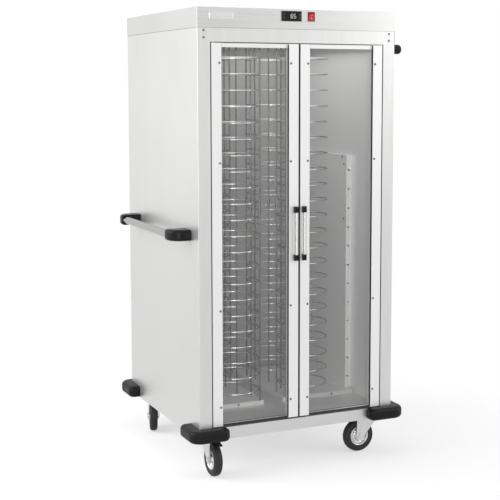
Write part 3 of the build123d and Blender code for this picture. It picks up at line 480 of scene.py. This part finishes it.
def doorSealsAndGapShade(side, look):
    low, high = ends(side + "_door_frame")
    paneLow, paneHigh = ends(side + "_door_glass")
    middle, size = (low + high) / 2, high - low
    centres, sizes = [], []
    for edge, inward in ((low[0], 1), (high[0], -1)):
        depth = paneLow[1] - low[1] - look["fromFront"]
        centres.append([edge + inward * (look["stileWidth"] + look["thick"] / 2), paneLow[1] - depth / 2,
                        (paneLow[2] + paneHigh[2]) / 2])
        sizes.append([look["thick"], depth, paneHigh[2] - paneLow[2]])
        # painted shade: a dark strip on the door's upright edge and a thin lap on its front, standing for the
        # shade in the gap
        centres.append([edge - inward * look["gapShadeThick"] / 2, middle[1], middle[2]])
        sizes.append([look["gapShadeThick"], size[1] - 2 * look["gapShadeInset"], size[2]])
        lapFront = low[1] + (look["lapShadeSunk"] - look["lapProud"]) / 2
        centres.append([edge + inward * look["lapShadeWidth"] / 2, lapFront, middle[2]])
        sizes.append([look["lapShadeWidth"], look["lapShadeSunk"] + look["lapProud"], size[2]])
    stiles = look["stileWidth"] + look["thick"]
    railFront = paneLow[1] - look["railAhead"]
    railMiddle = railFront + look["railSunk"] / 2 - look["lapProud"]
    centres.append([middle[0], railMiddle, low[2] + look["railHeight"] / 2])
    sizes.append([size[0] - 2 * stiles, look["railSunk"], look["railHeight"]])
    return plates(np.array(centres), np.array(sizes))


# painted shadow at the joint under the cover's lower edge, where its overhang shades it: thin dark strips on
# the front and both sides
hemShadowLook = dict(height=0.0008, proud=0.0003, sunk=0.0002)


def coverHemShadow(look):
    left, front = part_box("left_side_panel")[0][:2]
    right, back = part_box("right_side_panel")[1][:2]
    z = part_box("top_cover")[0][2] - look["height"] / 2
    thick, shift = look["proud"] + look["sunk"], (look["proud"] - look["sunk"]) / 2
    middle = [(left + right) / 2, (front + back) / 2]
    centres = [[middle[0], front - shift, z], [left - shift, middle[1], z], [right + shift, middle[1], z]]
    sizes = [[right - left, thick, look["height"]], [thick, back - front, look["height"]],
             [thick, back - front, look["height"]]]
    return plates(np.array(centres), np.array(sizes))


# small plate on the cover: rounded corners, a soft raised rim and a slightly sunk middle
badge = dict(width=0.096, height=0.026, corner=0.004, leastCorner=0.0008, proud=0.0012, rim=0.0008,
             rimInner=4, fieldInset=5, fieldShare=0.75, fromLeft=0.0425, fromTop=0.0295, steps=9)


def roundedOutline(width, height, corner, steps):
    # corner arcs of a quarter turn each, joined in order round the rectangle
    turn = np.linspace(0, np.pi / 2, steps)
    arcs = []
    for k, (sx, sz) in enumerate(((1, 1), (-1, 1), (-1, -1), (1, -1))):
        angle = turn + k * np.pi / 2
        arcs.append(np.stack([sx * (width / 2 - corner) + corner * np.cos(angle),
                              sz * (height / 2 - corner) + corner * np.sin(angle)], 1))
    return np.concatenate(arcs)


def badgePlate(look):
    low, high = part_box("top_cover")
    cx = low[0] + look["fromLeft"] + look["width"] / 2
    cz = high[2] - look["fromTop"]
    rings = []
    field = look["proud"] * look["fieldShare"]
    for inset, depth in ((0.0, 0.0), (0.0, look["proud"] - look["rim"]), (look["rim"], look["proud"]),
                         (look["rim"] * look["rimInner"], look["proud"]),
                         (look["rim"] * look["fieldInset"], field)):
        ring = roundedOutline(look["width"] - 2 * inset, look["height"] - 2 * inset,
                              max(look["corner"] - inset, look["leastCorner"]), look["steps"])
        rings.append(np.stack([ring[:, 0] + cx, np.full(len(ring), low[1] - depth), ring[:, 1] + cz], 1))
    count = len(rings[0])
    points = np.concatenate(rings + [np.array([[cx, low[1] - field, cz], [cx, low[1], cz]])])
    i = np.arange(count)
    j = (i + 1) % count
    last = (len(rings) - 1) * count
    caps = np.concatenate([np.stack([i + last, j + last, np.full(count, len(points) - 2)], 1),
                           np.stack([j, i, np.full(count, len(points) - 1)], 1)])
    return points, gridFaces(len(rings), count, False), caps


addMixed("badgePlate", *badgePlate(badge), "badgeSteel", "cabinet", "brushed_panel_steel")
for side in ("left", "right"):
    sleeve = pullSleeve(side, pullLook)
    smooth(addMixed(side + ".pullSleeve", *sleeve, "handleTube", side + "_door", "handle_steel"), 40)
for side in ("left", "right"):
    addMesh(side + ".doorSealsAndGapShade", *doorSealsAndGapShade(side, sealAndGapShadeLook), "sealRubber", side + "_door", "seal_rubber")
addMesh("coverHemShadow", *coverHemShadow(hemShadowLook), "sealRubber", "cabinet", "seal_rubber")
print("display, plate, pull sleeves, seals and seam made")


# screws: a low dome whose cross slot is pressed into the grid
screwLook = dict(radius=0.0045, height=0.0022, slotHalf=0.00055, slotReach=0.0026, slotDepth=0.0013,
                 rings=15, around=40, turn=0.7)
screwPlaces = dict(postInset=0.024, postDrops=(0.010, 0.035), rearInset=0.013, rearMargin=0.040, rearCount=6,
                   footShifts=(-0.2575, -0.1485, 0.1485, 0.2575), ductInset=0.020, ductDrops=(0.036, 0.257),
                   crownShifts=(0.035, 0.262), crownDrop=0.008, doorInset=0.032, doorSteps=(0.070, 0.425))
screwBodies = {"cabinet_screws": "cabinet", "left_door_screws": "left_door",
               "right_door_screws": "right_door"}


def slotBar(look, across, along):
    # 1 along one bar of the cross slot, falling smoothly to 0 outside it
    return np.exp(-(across / look["slotHalf"]) ** 4) * np.exp(-(along / look["slotReach"]) ** 8)


def screwGrid(look):
    # radius falls from the rim to the middle; height = dome - slot, where the slot is two smooth bars crossed
    share = np.linspace(1.0, 0.0, look["rings"])[:, None]
    angle = np.linspace(0, 2 * np.pi, look["around"], endpoint=False)[None, :]
    x = look["radius"] * share * np.cos(angle)
    y = look["radius"] * share * np.sin(angle)
    dome = look["height"] * (1 - share ** 4) ** 0.5 + 0 * angle
    z = dome - look["slotDepth"] * np.maximum(slotBar(look, x, y), slotBar(look, y, x))
    top = np.stack([x, y, z], 2).reshape(-1, 3)
    base = np.stack([x[0], y[0], np.zeros(look["around"])], 1)
    points = np.concatenate([top, base, [[0, 0, 0]]])
    i = np.arange(look["around"])
    j = (i + 1) % look["around"]
    low = look["rings"] * look["around"]
    rim = np.stack([j, i, i + low, j + low], 1)
    cap = np.stack([j + low, i + low, np.full(look["around"], len(points) - 1)], 1)
    return points, np.concatenate([gridFaces(look["rings"], look["around"], False), rim]), cap


def cabinetSpots(look):
    # screw places on posts, back, platforms and duct: points with the axis and the way the heads look
    low, high = ends("left_side_panel")[0], ends("right_side_panel")[1]
    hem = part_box("top_cover")[0][2]
    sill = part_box("base_frame")[1][2]
    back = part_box("back_panel")[1][1]
    ductLow, ductHigh = ends("heater_duct_cover")
    stepLow, stepHigh = ends("rack_platforms")
    middle = (low[0] + high[0]) / 2
    posts = spots((low[0] + look["postInset"], high[0] - look["postInset"]), (low[1],),
                  hem - np.array(look["postDrops"]))
    rear = spots((low[0] + look["rearInset"], high[0] - look["rearInset"]), (back,),
                 np.linspace(sill + look["rearMargin"], hem - look["rearMargin"], look["rearCount"]))
    feet = spots(middle + np.array(look["footShifts"]), (stepLow[1],), ((stepLow[2] + stepHigh[2]) / 2,))
    edge = spots((ductLow[0],), (ductLow[1] + look["ductInset"],), ductHigh[2] - np.array(look["ductDrops"]))
    crown = spots((ductLow[0],), ductLow[1] + np.array(look["crownShifts"]),
                  (ductHigh[2] - look["crownDrop"],))
    return [(posts, 1, -1), (rear, 1, 1), (feet, 1, -1), (np.concatenate([edge, crown]), 0, -1)]


def doorSpots(side, look):
    # four heads down the pane side of each stile
    low, high = ends(side + "_door_frame")
    near, far = look["doorSteps"]
    levels = (low[2] + near, low[2] + far, high[2] - far, high[2] - near)
    return [(spots((low[0] + look["doorInset"], high[0] - look["doorInset"]), (low[1],), levels), 1, -1)]


def screwHeads(groups, look):
    # the head's grid, turned a little more on each place, stood up along the group's axis
    points, quads, caps = screwGrid(look)
    allPoints, allQuads, allCaps, count = [], [], [], 0
    for places, axis, outer in groups:
        turn = look["turn"] * np.arange(len(places))[:, None]
        across = points[None, :, 0] * np.cos(turn) - points[None, :, 1] * np.sin(turn)
        along = points[None, :, 0] * np.sin(turn) + points[None, :, 1] * np.cos(turn)
        stand = np.repeat(outer * points[None, :, 2], len(places), 0)
        order = [stand, across, along] if axis == 0 else [across, stand, along]
        allPoints.append((np.stack(order, 2) + places[:, None, :]).reshape(-1, 3))
        offsets = (count + np.arange(len(places)))[:, None, None] * len(points)
        allQuads.append((quads[None] + offsets).reshape(-1, 4))
        allCaps.append((caps[None] + offsets).reshape(-1, 3))
        count += len(places)
    return np.concatenate(allPoints), np.concatenate(allQuads), np.concatenate(allCaps)


screwGroups = {"cabinet_screws": cabinetSpots(screwPlaces),
               "left_door_screws": doorSpots("left", screwPlaces),
               "right_door_screws": doorSpots("right", screwPlaces)}
for node, body in screwBodies.items():
    shape = screwHeads(screwGroups[node], screwLook)
    heads = addMixed(node + ".heads", *shape, "screwSteel", body, "fastener_steel")
    smooth(heads, 50)
    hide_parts(node)
print("screw heads made")

# plate racks: smooth rings, uprights and joint sleeves, in place of the faceted ones
rackLook = dict(pitch=0.297, backShift=0.031, ringRadius=0.097, wire=0.0025, levels=22, step=0.061,
                lowest=0.047, uprightRadius=0.003, angles=(-25.0, 25.0, 60.0), sleeveRadius=0.005,
                sleeveLength=0.024, around=72, section=12, barAround=20, sleeveAround=24)


def ringStack(look, x, y, base):
    # torus: (R + w cos v) round the column, w sin v up, repeated at each level
    u = np.linspace(0, 2 * np.pi, look["around"], endpoint=False)[:, None]
    v = np.linspace(0, 2 * np.pi, look["section"], endpoint=False)[None, :]
    reach = look["ringRadius"] + look["wire"] * np.cos(v)
    rise = look["wire"] * np.sin(v) + 0 * u
    ring = np.stack([x + reach * np.cos(u), y + reach * np.sin(u), rise], 2).reshape(-1, 3)
    i, k = np.arange(look["around"])[:, None], np.arange(look["section"])[None, :]
    nextI, nextK = (i + 1) % look["around"], (k + 1) % look["section"]
    quads = np.stack([i * look["section"] + k, nextI * look["section"] + k, nextI * look["section"] + nextK,
                      i * look["section"] + nextK], 2).reshape(-1, 4)
    levels = base + look["lowest"] + look["step"] * np.arange(look["levels"])
    lift = np.stack([0 * levels, 0 * levels, levels], 1)
    points = (ring[None] + lift[:, None, :]).reshape(-1, 3)
    return points, (quads[None] + len(ring) * np.arange(len(levels))[:, None, None]).reshape(-1, 4)


def rods(places, radius, low, high, around):
    # closed upright cylinders: a wall of quads and a fan of triangles at each end
    angle = np.linspace(0, 2 * np.pi, around, endpoint=False)
    circle = np.stack([radius * np.cos(angle), radius * np.sin(angle)], 1)
    one = np.concatenate([np.column_stack([circle, np.full(around, low)]),
                          np.column_stack([circle, np.full(around, high)]), [[0, 0, low], [0, 0, high]]])
    walls, caps = tubeFaces(around)
    shift = np.column_stack([places, np.zeros(len(places))])
    offsets = len(one) * np.arange(len(places))[:, None, None]
    return ((one[None] + shift[:, None, :]).reshape(-1, 3), (walls[None] + offsets).reshape(-1, 4),
            (caps[None] + offsets).reshape(-1, 3))


def rackPieces(corner, look):
    middleX = (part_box("left_side_panel")[0][0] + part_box("right_side_panel")[1][0]) / 2
    sideX = -1 if "left" in corner else 1
    sideY = -1 if "front" in corner else 1
    x, y = middleX + sideX * look["pitch"] / 2, look["backShift"] + sideY * look["pitch"] / 2
    base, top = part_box(corner + "_plate_rack")[0][2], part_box(corner + "_plate_rack")[1][2]
    circle = look["ringRadius"] + look["wire"] + look["uprightRadius"]
    angle = np.radians(look["angles"])
    places = np.stack([x - circle * np.cos(angle) * sideX, y - circle * np.sin(angle) * sideY], 1)
    joint = base + look["lowest"] + (look["levels"] // 2 + 1 / 2) * look["step"]
    half = look["sleeveLength"] / 2
    bars = rods(places, look["uprightRadius"], base, top, look["barAround"])
    sleeves = rods(places, look["sleeveRadius"], joint - half, joint + half, look["sleeveAround"])
    both = (np.concatenate([bars[0], sleeves[0]]), np.concatenate([bars[1], sleeves[1] + len(bars[0])]),
            np.concatenate([bars[2], sleeves[2] + len(bars[0])]))
    return ringStack(look, x, y, base), both


for corner in corners:
    node = corner + "_plate_rack"
    rings, bars = rackPieces(corner, rackLook)
    ringPiece = addMesh(corner + ".rackRings", *rings, "rackWire", "cabinet", "rack_wire")
    outward(ringPiece.data)
    smooth(ringPiece, 60)
    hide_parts(node)
    barPiece = addMixed(corner + ".rackUprights", *bars, "uprightSteel", "cabinet", "rack_wire")
    smooth(barPiece, 50)
    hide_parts(node)
print("plate racks made")

# wheels: profiles carried round the axle; half profiles as axial, radial pairs in metres
tyreLook = dict(around=96,
                half=((0.0135, 0.0380), (0.0150, 0.0408), (0.0158, 0.0440), (0.0160, 0.0480),
                      (0.0157, 0.0522), (0.0142, 0.0570), (0.0116, 0.0604), (0.0084, 0.0620),
                      (0.0068, 0.0623), (0.0065, 0.0616), (0.0056, 0.0616), (0.0053, 0.0624),
                      (0.0020, 0.0625)))
rimLook = dict(around=96, dimples=9, dimpleDepth=0.0022, dimpleAt=0.0255, dimpleWide=0.0036,
               half=((0.0180, 0.0053), (0.0180, 0.0150), (0.0168, 0.0168), (0.0110, 0.0176), (0.0062, 0.0192),
                     (0.0048, 0.0215), (0.0046, 0.0240), (0.0048, 0.0270), (0.0060, 0.0300), (0.0098, 0.0322),
                     (0.0130, 0.0338), (0.0140, 0.0352), (0.0140, 0.0372), (0.0134, 0.0380)))


def turned(look, place, axis):
    # point = place + axial * axis + radial * (cos e1 + sin e2), dimples press the web in towards its middle
    half = np.array(look["half"])
    axial = np.concatenate([half[:, 0], -half[::-1, 0]])
    radial = np.concatenate([half[:, 1], half[::-1, 1]])
    angle = np.linspace(0, 2 * np.pi, look["around"], endpoint=False)
    axis = np.array(axis) / np.linalg.norm(axis)
    e2 = np.array([0.0, 0.0, 1.0])
    e1 = np.cross(axis, e2)
    a = axial[:, None] + 0 * angle
    r = radial[:, None] + 0 * angle
    if "dimples" in look:
        press = look["dimpleDepth"] * np.exp(-((r - look["dimpleAt"]) / look["dimpleWide"]) ** 4)
        a = a - np.sign(a) * press * np.clip(np.cos(look["dimples"] * angle), 0, 1) ** 0.5
    points = (np.array(place) + a[..., None] * axis + r[..., None] *
              (np.cos(angle)[:, None] * e1 + np.sin(angle)[:, None] * e2)).reshape(-1, 3)
    return points, gridFaces(len(axial), look["around"], True)


for corner in corners:
    spin = joints[corner + "_wheel_spin"]
    for part, look, finish, slot in (("tyre", tyreLook, "tyreRubber", "tyre_rubber"),
                                     ("wheel_rim", rimLook, "wheelCore", "wheel_core")):
        points, faces = turned(look, spin["pos_m"], spin["axis"])
        piece = addMesh(f"{corner}.{part}", points, faces, finish, corner + "_wheel", slot)
        outward(piece.data)
        smooth(piece, 40)
        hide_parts(f"{corner}_{part}")
print("wheels made")

# floor, light and camera
floorLook = dict(size=8.0, color=(0.50, 0.50, 0.50), rough=0.9, glow=0.52, fadeFrom=0.55, fadeTo=1.5)


def makeFloor(look):
    # one square at the floor level, lifted towards white where it is seen, fading out round the object
    half = look["size"] / 2
    points = np.array([[-half, -half, 0], [half, -half, 0], [half, half, 0], [-half, half, 0]], float)
    mesh = bpy.data.meshes.new("studioFloor")
    mesh.from_pydata(points.tolist(), [], [[0, 1, 2, 3]])
    piece = bpy.data.objects.new("studioFloor", mesh)
    bpy.context.scene.collection.objects.link(piece)
    mat = bpy.data.materials.new("studioFloor")
    mat.use_nodes = True
    tree = mat.node_tree
    shader = tree.nodes["Principled BSDF"]
    shader.inputs["Base Color"].default_value = (*look["color"], 1.0)
    shader.inputs["Roughness"].default_value = look["rough"]
    shader.inputs["Emission Color"].default_value = (1.0, 1.0, 1.0, 1.0)
    tree.links.new(seenRays(tree, look["glow"]), shader.inputs["Emission Strength"])
    # alpha = 1 inside fadeFrom, 0 outside fadeTo, smooth between, by distance from the middle
    coords = tree.nodes.new("ShaderNodeTexCoord")
    reach = tree.nodes.new("ShaderNodeVectorMath")
    reach.operation = "LENGTH"
    tree.links.new(coords.outputs["Object"], reach.inputs[0])
    fade = tree.nodes.new("ShaderNodeMapRange")
    fade.interpolation_type = "SMOOTHSTEP"
    fade.inputs["From Min"].default_value = look["fadeFrom"]
    fade.inputs["From Max"].default_value = look["fadeTo"]
    fade.inputs["To Min"].default_value = 1.0
    fade.inputs["To Max"].default_value = 0.0
    tree.links.new(reach.outputs["Value"], fade.inputs["Value"])
    tree.links.new(fade.outputs["Result"], shader.inputs["Alpha"])
    piece.data.materials.append(mat)


def seenRays(tree, gain):
    # gain where the ray comes from the camera, a gloss or a pane, else nothing
    path = tree.nodes.new("ShaderNodeLightPath")
    first = tree.nodes.new("ShaderNodeMath")
    first.operation = "ADD"
    tree.links.new(path.outputs["Is Camera Ray"], first.inputs[0])
    tree.links.new(path.outputs["Is Glossy Ray"], first.inputs[1])
    second = tree.nodes.new("ShaderNodeMath")
    second.operation = "ADD"
    second.use_clamp = True
    tree.links.new(first.outputs[0], second.inputs[0])
    tree.links.new(path.outputs["Is Transmission Ray"], second.inputs[1])
    third = tree.nodes.new("ShaderNodeMath")
    third.operation = "MULTIPLY"
    tree.links.new(second.outputs[0], third.inputs[0])
    third.inputs[1].default_value = gain
    return third.outputs[0]


skyLook = dict(fill=0.45)


def makeSky(look):
    # white to the camera, gloss and panes; a softer fill for everything else
    world = bpy.data.worlds.new("studioSky")
    bpy.context.scene.world = world
    world.use_nodes = True
    tree = world.node_tree
    back = tree.nodes["Background"]
    back.inputs["Color"].default_value = (1.0, 1.0, 1.0, 1.0)
    strength = tree.nodes.new("ShaderNodeMath")
    strength.operation = "ADD"
    tree.links.new(seenRays(tree, 1.0 - look["fill"]), strength.inputs[0])
    strength.inputs[1].default_value = look["fill"]
    tree.links.new(strength.outputs[0], back.inputs["Strength"])


lamps = {
    "keyPanel": dict(place=(4.3, -3.5, 2.8), target=(0.1, 0.0, 0.9), size=2.6, power=110.0),
    "sidePanel": dict(place=(-3.1, 0.7, 2.3), target=(-0.4, 0.0, 1.3), size=2.6, power=104.0),
    "doorPanel": dict(place=(-2.2, -4.6, 0.9), target=(0.2, 0.0, 1.3), size=1.8, power=56.0),
    "topPanel": dict(place=(0.3, -0.4, 4.6), target=(0.0, 0.0, 1.0), size=3.2, power=24.0),
}
cavityLook = dict(underCeiling=0.02, size=0.62, power=1.5)


def addLamp(name, look, place, target):
    lamp = bpy.data.lights.new(name, "AREA")
    lamp.size = look["size"]
    lamp.energy = look["power"]
    piece = bpy.data.objects.new(name, lamp)
    bpy.context.scene.collection.objects.link(piece)
    aim(piece, place, target)
    return piece


def makeLamps(looks):
    for name, look in looks.items():
        addLamp(name, look, look["place"], look["target"])


def makeCavityLamp(look):
    # faint light under the ceiling, unseen itself, that lifts the upper liner
    low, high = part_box("inner_ceiling")
    x, y = (low[0] + high[0]) / 2, (low[1] + high[1]) / 2
    piece = addLamp("cavityPanel", look, (x, y, low[2] - look["underCeiling"]), (x, y, 0.0))
    piece.visible_camera = False


def aim(piece, place, target):
    piece.location = place
    toward = mathutils.Vector(target) - mathutils.Vector(place)
    piece.rotation_euler = toward.to_track_quat("-Z", "Y").to_euler()


cameraLook = dict(place=(-1.8675, -4.2189, 1.4208), yaw=25.019, pitch=6.028, lens=83.82, sensor=36.0,
                  shiftX=-0.05, shiftY=-0.08, farEnd=200.0)


def makeCamera(look):
    camera = bpy.data.cameras.new("photoView")
    camera.sensor_width = look["sensor"]
    camera.lens = look["lens"]
    camera.shift_x = look["shiftX"]
    camera.shift_y = look["shiftY"]
    camera.clip_end = look["farEnd"]
    piece = bpy.data.objects.new("photoView", camera)
    bpy.context.scene.collection.objects.link(piece)
    piece.location = look["place"]
    piece.rotation_euler = (np.pi / 2 - np.radians(look["pitch"]), 0.0, -np.radians(look["yaw"]))
    bpy.context.scene.camera = piece


makeFloor(floorLook)
makeSky(skyLook)
makeLamps(lamps)
makeCavityLamp(cavityLook)
makeCamera(cameraLook)
bpy.context.scene.view_settings.view_transform = "Standard"
print("floor, light and camera set")
